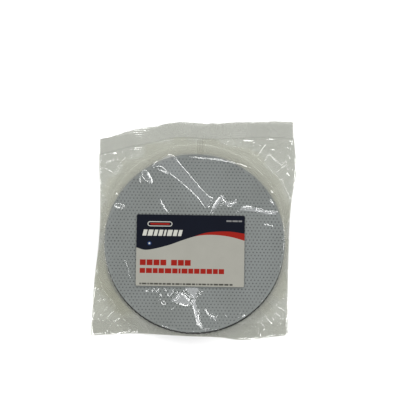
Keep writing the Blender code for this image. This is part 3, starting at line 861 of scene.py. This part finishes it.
def make_loop(finish):
    """The loop fabric disc, with a tufted edge."""
    top, low = LOOP_HIGH.z / MM, LOOP_LOW.z / MM
    profile = [(0, top), (PAD_RADIUS - 2, top), (PAD_RADIUS - 0.4, top - 0.1), (PAD_RADIUS - 0.05, top - 0.5)]
    profile += [(PAD_RADIUS, top - 0.9), (PAD_RADIUS - 0.1, low + 0.4), (PAD_RADIUS - 0.6, low + 0.08)]
    profile += [(r, low) for r in np.arange(PAD_RADIUS - 2, 2, -3)] + [(0, low)]

    def wobble(turn, radius, level, k):
        arc = turn * radius[0]
        tuft = waves(arc, level * 2 + k, 0.9, 41, 18)
        edge = soft_step(radius, PAD_RADIUS - 3, PAD_RADIUS - 0.4)
        under = soft_step(-level, -low - 0.5, -low)
        return radius - edge * 0.12 * np.abs(tuft), level + under * 0.06 * np.abs(tuft)

    return lathe("loop_disc", profile, wobble, finish, 720)


# ---------------------------------------------------------------- the sticker

# The dark header's lower edge and the red stripe's upper edge, as shares of the sticker's width from
# the left and of its height from the top
HEADER_EDGE = [(0, 0.466), (0.1, 0.497), (0.28, 0.435), (0.435, 0.35), (0.55, 0.295), (0.66, 0.275)]
HEADER_EDGE += [(0.78, 0.28), (0.89, 0.305), (1, 0.35)]
STRIPE_EDGE = [(0.5, 0.318), (0.63, 0.25), (0.74, 0.228), (0.82, 0.223), (0.89, 0.228), (1, 0.252)]
INKS = ["paper", "navy", "red", "pale", "dark", "faint", "blue"]


def block_row(left, right, top, bottom, widths, gap, ink, lean=0.0):
    """A row of plain blocks that stands for a line of print: shares of the sticker, left to right."""
    total = sum(abs(w) for w in widths) + gap * (len(widths) - 1)
    x, row = left, []
    for w in widths:
        step = abs(w) * (right - left) / total
        if w > 0:
            row.append((x, x + step, top, bottom, ink, lean))
        x += step + gap * (right - left) / total
    return row


def fine_print(left, right, top, bottom, seed, ink):
    """Small dashes of word length."""
    rng = np.random.default_rng(seed)
    x, row = left, []
    while x < right - 0.02:
        w = rng.uniform(0.012, 0.05)
        row.append((x, min(x + w, right), top, bottom, ink, 0.0))
        x += w + rng.uniform(0.006, 0.01)
    return row


def print_blocks():
    blocks = block_row(0.035, 0.505, 0.632, 0.712, [1, 1, 1, 1, -0.5, 1, 1, 1], 0.16, "red")
    second_line = [1, 1.1, 0.9, 1, 1.2, 1, 0.4, 1.1, 0.9, 1, 1, 1, 0.9, 1]
    blocks += block_row(0.035, 0.815, 0.752, 0.822, second_line, 0.16, "red")
    heading = [0.9, 1.1, 0.8, 0.9, 0.5, 1.1, 0.9, 0.8]
    blocks += block_row(0.06, 0.42, 0.212, 0.298, heading, 0.3, "pale", 0.12)
    blocks += fine_print(0.035, 0.915, 0.958, 0.982, 3, "dark")
    blocks += fine_print(0.83, 0.975, 0.066, 0.088, 4, "faint")
    return blocks


# A pill in a pill, and a small glint: left, right, top and bottom as shares of the sticker
EMBLEM = [(0.1, 0.33, 0.095, 0.165, "pale"), (0.107, 0.323, 0.105, 0.155, "navy")]
EMBLEM += [(0.125, 0.305, 0.118, 0.142, "red")]
EMBLEM += [(0.101, 0.139, 0.377, 0.433, "blue"), (0.111, 0.129, 0.392, 0.418, "pale")]


def pill(left, right, top, bottom, points=9):
    """A bar with round ends, in shares of the sticker."""
    w, h = LABEL_SIZE
    radius = (bottom - top) * h / 2
    middle = (top + bottom) / 2 * h
    ends = [(right * w - radius, -90), (left * w + radius, 90)]
    loop = []
    for x, start in ends:
        for k in range(points):
            a = math.radians(start + 180 * k / (points - 1))
            loop.append(((x + radius * math.cos(a)) / w, (middle + radius * math.sin(a)) / h))
    return loop


def block_loop(block):
    left, right, top, bottom, _, lean = block
    slant = lean * (bottom - top) * LABEL_SIZE[1] / LABEL_SIZE[0]
    return [(left + slant, top), (right + slant, top), (right - slant, bottom), (left - slant, bottom)]


def label_wave(x, y):
    """How far the sticker and its glue stray from flat."""
    return 0.03 * waves(x, y, 47, 51)


def within(point, loop):
    """True if a point lies inside a convex loop."""
    sides = []
    for (ax, ay), (bx, by) in zip(loop, loop[1:] + loop[:1]):
        sides.append((bx - ax) * (point[1] - ay) - (by - ay) * (point[0] - ax))
    return min(sides) >= 0 or max(sides) <= 0


def make_label(finishes):
    """The sticker: one thin sheet, cut along the print so that each ink has its own faces."""
    w, h = LABEL_SIZE
    round_x, round_y = LABEL_CORNER / w, LABEL_CORNER / h
    outline = []
    for cx, cy, start in ((1, 1, 0), (0, 1, 90), (0, 0, 180), (1, 0, 270)):
        for k in range(5):
            a = math.radians(start + 22.5 * k)
            x = cx + (1 - 2 * cx) * round_x + round_x * math.cos(a)
            y = cy + (1 - 2 * cy) * round_y + round_y * math.sin(a)
            outline.append((x, y))
    header = smooth_path(HEADER_EDGE, 8)
    stripe = smooth_path(STRIPE_EDGE, 8)
    blocks = print_blocks()
    loops = [block_loop(b) for b in blocks] + [pill(*e[:4]) for e in EMBLEM]
    inks = [b[4] for b in blocks] + [e[4] for e in EMBLEM]
    points, edges = [Vector(p) for p in outline], []
    for line, closed in [(header, False), (stripe, False)] + [(loop, True) for loop in loops]:
        first = len(points)
        points += [Vector(p) for p in line]
        edges += [(first + i, first + i + 1) for i in range(len(line) - 1)]
        if closed:
            edges.append((len(points) - 1, first))
    grid = [(x, y) for x in np.linspace(0.04, 0.96, 26) for y in np.linspace(0.05, 0.95, 18)]
    points += [Vector(p) for p in grid]
    result = delaunay_2d_cdt(points, edges, [list(range(len(outline)))], 1, 1e-6)
    share = np.array([tuple(v) for v in result[0]])
    faces = [tuple(f) for f in result[2]]
    slots = []
    for face in faces:
        x, y = share[list(face)].mean(0)
        found = "paper"
        low = np.interp(x, header[:, 0], header[:, 1])
        red = np.interp(x, stripe[:, 0], stripe[:, 1]) if x > stripe[0, 0] else low
        if y < low:
            found = "navy" if y < red else "red"
        for loop, ink in zip(loops, inks):
            if within((x, y), loop):
                found = ink
        slots.append(INKS.index(found))
    x, y = from_label_frame((share[:, 0] - 0.5) * w, (0.5 - share[:, 1]) * h)
    z = LABEL_TOP + label_wave(x, y)
    made = object_from("label", np.column_stack([x, y, z]), faces, finishes, smooth=False)
    made.data.polygons.foreach_set("material_index", slots)
    clean_normals(made)
    if sum(face.normal.z for face in made.data.polygons) < 0:
        made.data.flip_normals()
    return solidify(made, LABEL_THICKNESS)


def make_glue(finish):
    """The sticker's adhesive, just inside its edge."""
    w, h = LABEL_SIZE[0] - 2 * GLUE_INSET, LABEL_SIZE[1] - 2 * GLUE_INSET
    across, up = np.linspace(-w / 2, w / 2, 31), np.linspace(-h / 2, h / 2, 21)
    x, y = from_label_frame(*np.meshgrid(across, up, indexing="ij"))
    z = LABEL_TOP - LABEL_THICKNESS - GLUE_GAP + label_wave(x, y)
    return solidify(grid_object("label_glue", x, y, z, finish), GLUE_THICKNESS)


# ---------------------------------------------------------------- materials


def put(tree, kind, **values):
    """A new node. Values are its inputs by name (underscores for spaces) or its own settings."""
    made = tree.nodes.new(kind)
    for name, value in values.items():
        socket = made.inputs.get(name.replace("_", " "))
        if socket is None:
            setattr(made, name, value)
        elif isinstance(value, bpy.types.NodeSocket):
            tree.links.new(value, socket)
        else:
            socket.default_value = value
    return made


def fresh(name):
    made = bpy.data.materials.new(name)
    made.use_nodes = True
    made.node_tree.nodes.clear()
    tree = made.node_tree
    where = put(tree, "ShaderNodeTexCoord").outputs["Object"]
    return made, tree, where


def finish_with(tree, shader):
    put(tree, "ShaderNodeOutputMaterial", Surface=shader.outputs[0])


def noise(tree, where, size, detail=4.0, roughness=0.55):
    """A noise texture whose blobs are about size millimetres across."""
    scale = 1 / (size * MM)
    made = put(tree, "ShaderNodeTexNoise", Scale=scale, Detail=detail, Roughness=roughness, Vector=where)
    return made.outputs["Fac"]


def cells(tree, where, size, **settings):
    """A Voronoi texture whose cells are about size millimetres across."""
    return put(tree, "ShaderNodeTexVoronoi", Scale=1 / (size * MM), Vector=where, **settings)


def ramp(tree, value, stops):
    """A colour ramp through (position, colour) stops."""
    made = tree.nodes.new("ShaderNodeValToRGB")
    while len(made.color_ramp.elements) < len(stops):
        made.color_ramp.elements.new(0.5)
    for element, (position, colour) in zip(made.color_ramp.elements, stops):
        element.position = position
        element.color = (*colour, 1)
    tree.links.new(value, made.inputs["Fac"])
    return made.outputs["Color"]


def between(tree, value, from_low, from_high, to_low, to_high):
    ends = {"From_Min": from_low, "From_Max": from_high, "To_Min": to_low, "To_Max": to_high}
    return put(tree, "ShaderNodeMapRange", Value=value, **ends).outputs["Result"]


def blend_colours(tree, share, first, second):
    made = tree.nodes.new("ShaderNodeMix")
    made.data_type = "RGBA"
    sockets = made.inputs["Factor"], made.inputs[6], made.inputs[7]
    for socket, value in zip(sockets, (share, first, second)):
        if isinstance(value, bpy.types.NodeSocket):
            tree.links.new(value, socket)
        else:
            socket.default_value = value if isinstance(value, float) else (*value, 1)
    return made.outputs[2]


def bump(tree, height, strength, distance):
    made = put(tree, "ShaderNodeBump", Strength=strength, Distance=distance * MM, Height=height)
    return made.outputs["Normal"]


def combined(tree, operation, first, second):
    made = put(tree, "ShaderNodeMath", operation=operation)
    tree.links.new(first, made.inputs[0])
    if isinstance(second, bpy.types.NodeSocket):
        tree.links.new(second, made.inputs[1])
    else:
        made.inputs[1].default_value = second
    return made.outputs[0]


def blend_shaders(tree, share, first, second):
    made = tree.nodes.new("ShaderNodeMixShader")
    for socket, source in zip(made.inputs, (share, first.outputs[0], second.outputs[0])):
        tree.links.new(source, socket)
    return made


def principled(tree, **values):
    """A Principled shader as the material's surface."""
    finish_with(tree, put(tree, "ShaderNodeBsdfPrincipled", **values))


def facing_power(tree, normal):
    """0 where a surface faces the viewer, rising steeply to 1 at a grazing slant."""
    facing = put(tree, "ShaderNodeLayerWeight", Blend=0.5, Normal=normal)
    return combined(tree, "POWER", facing.outputs["Facing"], 5)


CREAM_SHADE = (0.40, 0.40, 0.305)  # painted shade: the pad's shadow seen cream through the slanting film round it
# the bluish white of the raised patches: a painted reflection of the room on the lifted film
CRUMPLE_SHEEN = (0.66, 0.675, 0.685)
HEAD_ON_GLOSS = 0.12  # share of light that the film mirrors when it is seen head on
SLANT_GLOSS = 0.16  # the same at a grazing slant


def film_material(name, tint, haze, haze_share, gloss_roughness, shine_share=1.0, with_mesh_looks=False):
    """Clear film: light passes faintly tinted, some is scattered, and a glossy skin lies on top.

    With mesh looks, the film's mesh says where it is hazier and creamier ("haze_shade_and_sheen": haze, with
    painted shade round the pad and a painted reflection over the pad's lower part), where raised patches are
    painted bluish white as a reflection ("crumple_sheen"), where it has no haze ("cling") and where it has no
    gloss ("dull").
    """
    made, tree, where = fresh(name)
    cloud = noise(tree, where, 24)
    fine = noise(tree, where, 1.4, 6.0)
    ripple = bump(tree, fine, 0.05, 0.04)
    clear = put(tree, "ShaderNodeBsdfTransparent", Color=(*tint, 1))
    haze_and_painted_light_colour = ramp(tree, cloud, [(0.35, haze), (0.7, tuple(c * 1.1 for c in haze))])
    tone = put(tree, "ShaderNodeSeparateColor", Color=cells(tree, where, 17).outputs["Color"])
    mottle = blend_colours(tree, 0.5, cloud, tone.outputs["Red"])
    share = between(tree, mottle, 0.15, 0.85, haze_share * 0.86, haze_share * 1.14)
    slant = facing_power(tree, ripple)
    gloss = between(tree, slant, 0, 1, HEAD_ON_GLOSS * shine_share, SLANT_GLOSS * shine_share)
    if with_mesh_looks:
        looks = ("haze_shade_and_sheen", "crumple_sheen", "cling", "dull")
        haze_shade_and_sheen, crumple_sheen, cling, dull = (
            put(tree, "ShaderNodeAttribute", attribute_name=look).outputs["Fac"] for look in looks
        )
        # Painted shade tints the band round the pad cream; a painted reflection turns the raised patches
        # bluish white.
        haze_and_painted_light_colour = blend_colours(tree, between(tree, haze_shade_and_sheen, 0.05, 0.3, 0, 1), haze_and_painted_light_colour, CREAM_SHADE)
        haze_and_painted_light_colour = blend_colours(tree, between(tree, crumple_sheen, 0, 0.05, 0, 1), haze_and_painted_light_colour, CRUMPLE_SHEEN)
        share = combined(tree, "ADD", share, haze_shade_and_sheen)
        share = combined(tree, "MULTIPLY", share, between(tree, cling, 0, 1, 1, 0.1))
        gloss = combined(tree, "MULTIPLY", gloss, between(tree, dull, 0, 1, 1, 0.1))
    haze_and_painted_light = put(tree, "ShaderNodeBsdfDiffuse", Color=haze_and_painted_light_colour, Normal=ripple)
    rough = between(tree, fine, 0.3, 0.7, gloss_roughness * 0.8, gloss_roughness * 1.2)
    shine = put(tree, "ShaderNodeBsdfGlossy", Normal=ripple, Roughness=rough)
    finish_with(tree, blend_shaders(tree, gloss, blend_shaders(tree, share, clear, haze_and_painted_light), shine))
    return made


def clay_material():
    made, tree, where = fresh("moulded_clay")
    height = put(tree, "ShaderNodeSeparateXYZ", Vector=where)
    depth = between(tree, height.outputs["Z"], CLAY_HIGH.z - 0.5 * MM, CLAY_HIGH.z - 0.05 * MM, 0.0, 1.0)
    cloud = noise(tree, where, 38, 3.0)
    grain = noise(tree, where, 0.9, 5.0)
    face = ramp(tree, cloud, [(0.35, (0.15, 0.162, 0.162)), (0.68, (0.178, 0.192, 0.196))])
    specks = ramp(tree, grain, [(0.35, (0.125, 0.135, 0.137)), (0.65, (0.245, 0.265, 0.27))])
    blotches = noise(tree, where, 7, 3.0)
    # Painted shade: below the face's top, in the dimples and down the rounded rim, the clay is painted
    # darker, partly shade in the hollows and partly its own darker tone.
    dimple_shade_and_tone = ramp(tree, blotches, [(0.35, (0.04, 0.044, 0.045)), (0.68, (0.095, 0.103, 0.105))])
    coloured = blend_colours(tree, depth, dimple_shade_and_tone, blend_colours(tree, 0.18, face, specks))
    rough = between(tree, grain, 0.3, 0.7, 0.5, 0.68)
    tooth = bump(tree, grain, 0.35, 0.08)
    principled(tree, Base_Color=coloured, Normal=tooth, Roughness=rough, Specular_IOR_Level=0.15)
    return made


def foam_material():
    made, tree, where = fresh("black_foam")
    open_cells = cells(tree, where, 0.7).outputs["Distance"]
    dust = noise(tree, where, 5, 5.0)
    # Painted shade: the pits that the bump sinks at the cells' centres are painted darkest.
    pores = ramp(tree, open_cells, [(0.1, (0.002, 0.002, 0.003)), (0.6, (0.012, 0.012, 0.013))])
    colour = blend_colours(tree, between(tree, dust, 0.45, 0.75, 0.0, 0.3), pores, (0.022, 0.022, 0.023))
    principled(tree, Base_Color=colour, Roughness=0.92, Normal=bump(tree, open_cells, 0.9, 0.3))
    return made


def loop_material():
    made, tree, where = fresh("loop_fabric")
    knit = cells(tree, where, 0.9, feature="SMOOTH_F1").outputs["Distance"]
    fuzz = noise(tree, where, 0.35, 6.0, 0.7)
    blotches = noise(tree, where, 12)
    base = ramp(tree, knit, [(0.15, (0.045, 0.045, 0.048)), (0.6, (0.012, 0.012, 0.013))])
    colour = blend_colours(tree, between(tree, blotches, 0.4, 0.7, 0.0, 0.4), base, (0.06, 0.06, 0.063))
    pile = bump(tree, combined(tree, "ADD", knit, fuzz), 0.8, 0.25)
    principled(tree, Base_Color=colour, Roughness=1.0, Sheen_Weight=0.5, Sheen_Roughness=0.6, Normal=pile)
    return made


def glue_material():
    made, tree, where = fresh("laminating_glue")
    dabs = noise(tree, where, 3, 5.0)
    colour = ramp(tree, dabs, [(0.35, (0.42, 0.4, 0.32)), (0.7, (0.58, 0.56, 0.47))])
    principled(tree, Base_Color=colour, Roughness=0.45, Normal=bump(tree, dabs, 0.5, 0.1))
    return made


def ink_material(name, dark, light, roughness):
    """Printed paper: fibre mottling and a fine tooth under the ink."""
    made, tree, where = fresh(name)
    fibre = noise(tree, where, 0.6, 6.0, 0.65)
    cloud = noise(tree, where, 16, 3.0)
    mottled, clouded = (ramp(tree, texture, [(0.3, dark), (0.7, light)]) for texture in (fibre, cloud))
    both = blend_colours(tree, 0.5, mottled, clouded)
    rough = between(tree, fibre, 0.3, 0.7, roughness * 0.88, roughness * 1.1)
    tooth = bump(tree, fibre, 0.25, 0.03)
    principled(tree, Base_Color=both, Normal=tooth, Roughness=rough, Specular_IOR_Level=0.08)
    return made


def floor_material():
    made, tree, where = fresh("pale_floor")
    shade = noise(tree, where, 300, 2.0)
    colour = ramp(tree, shade, [(0.3, (0.88, 0.88, 0.88)), (0.7, (0.90, 0.90, 0.90))])
    principled(tree, Base_Color=colour, Roughness=0.9, Specular_IOR_Level=0.1)
    return made


# ---------------------------------------------------------------- stage


def make_camera():
    data = bpy.data.cameras.new("camera")
    data.sensor_width = 36
    data.clip_start, data.clip_end = 0.05, 20
    made = bpy.data.objects.new("camera", data)
    bpy.context.scene.collection.objects.link(made)
    face = Vector((PAD.x, PAD.y, CLAY_HIGH.z))
    lift = Vector((0, -math.sin(VIEW_TILT), math.cos(VIEW_TILT)))
    rise = math.atan2(-PAD_IN_VIEW[1], VIEW_DISTANCE)
    made.location = face + lift * VIEW_DISTANCE + Vector((-PAD_IN_VIEW[0], 0, 0))
    made.rotation_euler = (VIEW_TILT + rise, 0, 0)
    data.lens = data.sensor_width * VIEW_DISTANCE * math.cos(rise) / VIEW_WIDTH
    bpy.context.scene.camera = made


# Soft lamps in a ring round the axis that the flat film mirrors the camera to. Each: turn round it
# from +X, in degrees, and strength
LAMPS = [(14, 1.1), (50, 1.2), (86, 1.2), (140, 0.8), (194, 1), (230, 1.1), (266, 1), (320, 0.8)]
LAMP_OFF_AXIS = math.radians(40)
LAMP_DISTANCE = 2.4
LAMP_SIZE = (1.0, 0.46)
LAMP_WATTS = 12.5
WORLD_STRENGTH = 0.28


def make_lights():
    tilt = Matrix.Rotation(-VIEW_TILT, 3, "X")
    for i, (turn, strength) in enumerate(LAMPS):
        data = bpy.data.lights.new(f"softbox_{i}", "AREA")
        data.shape = "RECTANGLE"
        data.size, data.size_y = LAMP_SIZE
        data.energy = LAMP_WATTS * strength
        lamp = bpy.data.objects.new(f"softbox_{i}", data)
        a = math.radians(turn)
        out = math.sin(LAMP_OFF_AXIS)
        away = tilt @ Vector((math.cos(a) * out, math.sin(a) * out, math.cos(LAMP_OFF_AXIS)))
        along = tilt @ Vector((-math.sin(a), math.cos(a), 0))
        facing = Matrix((along, away.cross(along), away)).transposed()
        place = Vector((PAD.x, PAD.y, 0)) + away * LAMP_DISTANCE
        lamp.matrix_world = Matrix.Translation(place) @ facing.to_4x4()
        bpy.context.scene.collection.objects.link(lamp)
    world = bpy.data.worlds.new("studio")
    world.use_nodes = True
    background = world.node_tree.nodes["Background"]
    background.inputs["Color"].default_value = (1, 1, 1, 1)
    background.inputs["Strength"].default_value = WORLD_STRENGTH
    bpy.context.scene.world = world
    bpy.context.scene.view_settings.view_transform = "Standard"


def make_floor():
    bm = bmesh.new()
    bmesh.ops.create_grid(bm, x_segments=1, y_segments=1, size=3)
    mesh = bpy.data.meshes.new("floor")
    bm.to_mesh(mesh)
    bm.free()
    mesh.materials.append(floor_material())
    floor = bpy.data.objects.new("floor", mesh)
    floor.location.z = -0.05 * MM
    bpy.context.scene.collection.objects.link(floor)


# ---------------------------------------------------------------- assembly


def dress_bag():
    front = film_material("front_film", (0.965, 0.97, 0.95), (0.42, 0.43, 0.40), 0.035, 0.12, with_mesh_looks=True)
    back = film_material("back_film", (0.89, 0.895, 0.87), (0.375, 0.385, 0.355), 0.44, 0.16)
    weld = film_material("welded_film", (0.90, 0.905, 0.88), (0.44, 0.45, 0.415), 0.42, 0.14)
    under = film_material("film_under", (0.995, 0.995, 0.985), (0.41, 0.42, 0.37), 0.012, 0.14, 0.08)
    film = make_front_film(front)
    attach(film, "bag")
    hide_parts("bag_front_film")
    for panel, node in zip(make_back_film(back), ("bag_back_film_left", "bag_back_film_right")):
        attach(panel, "bag")
        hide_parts(node)
    upper = make_seal("top", SEAL_WIDTH + 0.1, -1, 0.95, 0.9, 62, weld)
    lower = make_seal("bottom", SEAL_WIDTH - 0.4, 1, 0.32, 0.0, 71, under)
    fin = make_fin(under)
    for piece, node in ((upper, "top_crimp_seal"), (lower, "bottom_crimp_seal"), (fin, "back_fin_seal")):
        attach(piece, "bag")
        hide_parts(node)


def dress_pad():
    clay = make_clay(clay_material())
    foam = make_foam(foam_material())
    loop = make_loop(loop_material())
    layers = ((clay, "clay_face", "clay"), (foam, "foam_core", "foam"), (loop, "loop_backing", "loop_fabric"))
    for piece, node, slot in layers:
        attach(piece, "pad")
        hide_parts(node)
    glue = glue_material()
    for node in ("clay_bond", "loop_bond"):
        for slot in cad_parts[node].material_slots:
            slot.material = glue


def dress_label():
    inks = [
        ink_material("sticker_paper", (0.228, 0.225, 0.198), (0.255, 0.252, 0.222), 0.6),
        ink_material("navy_ink", (0.0012, 0.002, 0.006), (0.002, 0.0035, 0.009), 0.6),
        ink_material("red_ink", (0.18, 0.006, 0.003), (0.215, 0.009, 0.004), 0.6),
        ink_material("pale_ink", (0.33, 0.33, 0.30), (0.41, 0.41, 0.37), 0.5),
        ink_material("dark_ink", (0.03, 0.03, 0.025), (0.06, 0.06, 0.05), 0.5),
        ink_material("faint_ink", (0.11, 0.11, 0.11), (0.16, 0.16, 0.16), 0.5),
        ink_material("blue_ink", (0.006, 0.02, 0.07), (0.01, 0.03, 0.10), 0.5),
    ]
    label = make_label(inks)
    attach(label, "bag")
    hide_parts("label_face")
    glue = make_glue(glue_material())
    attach(glue, "bag")
    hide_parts("label_adhesive")


make_camera()
make_lights()
make_floor()
dress_pad()
dress_bag()
dress_label()
bpy.context.view_layer.update()
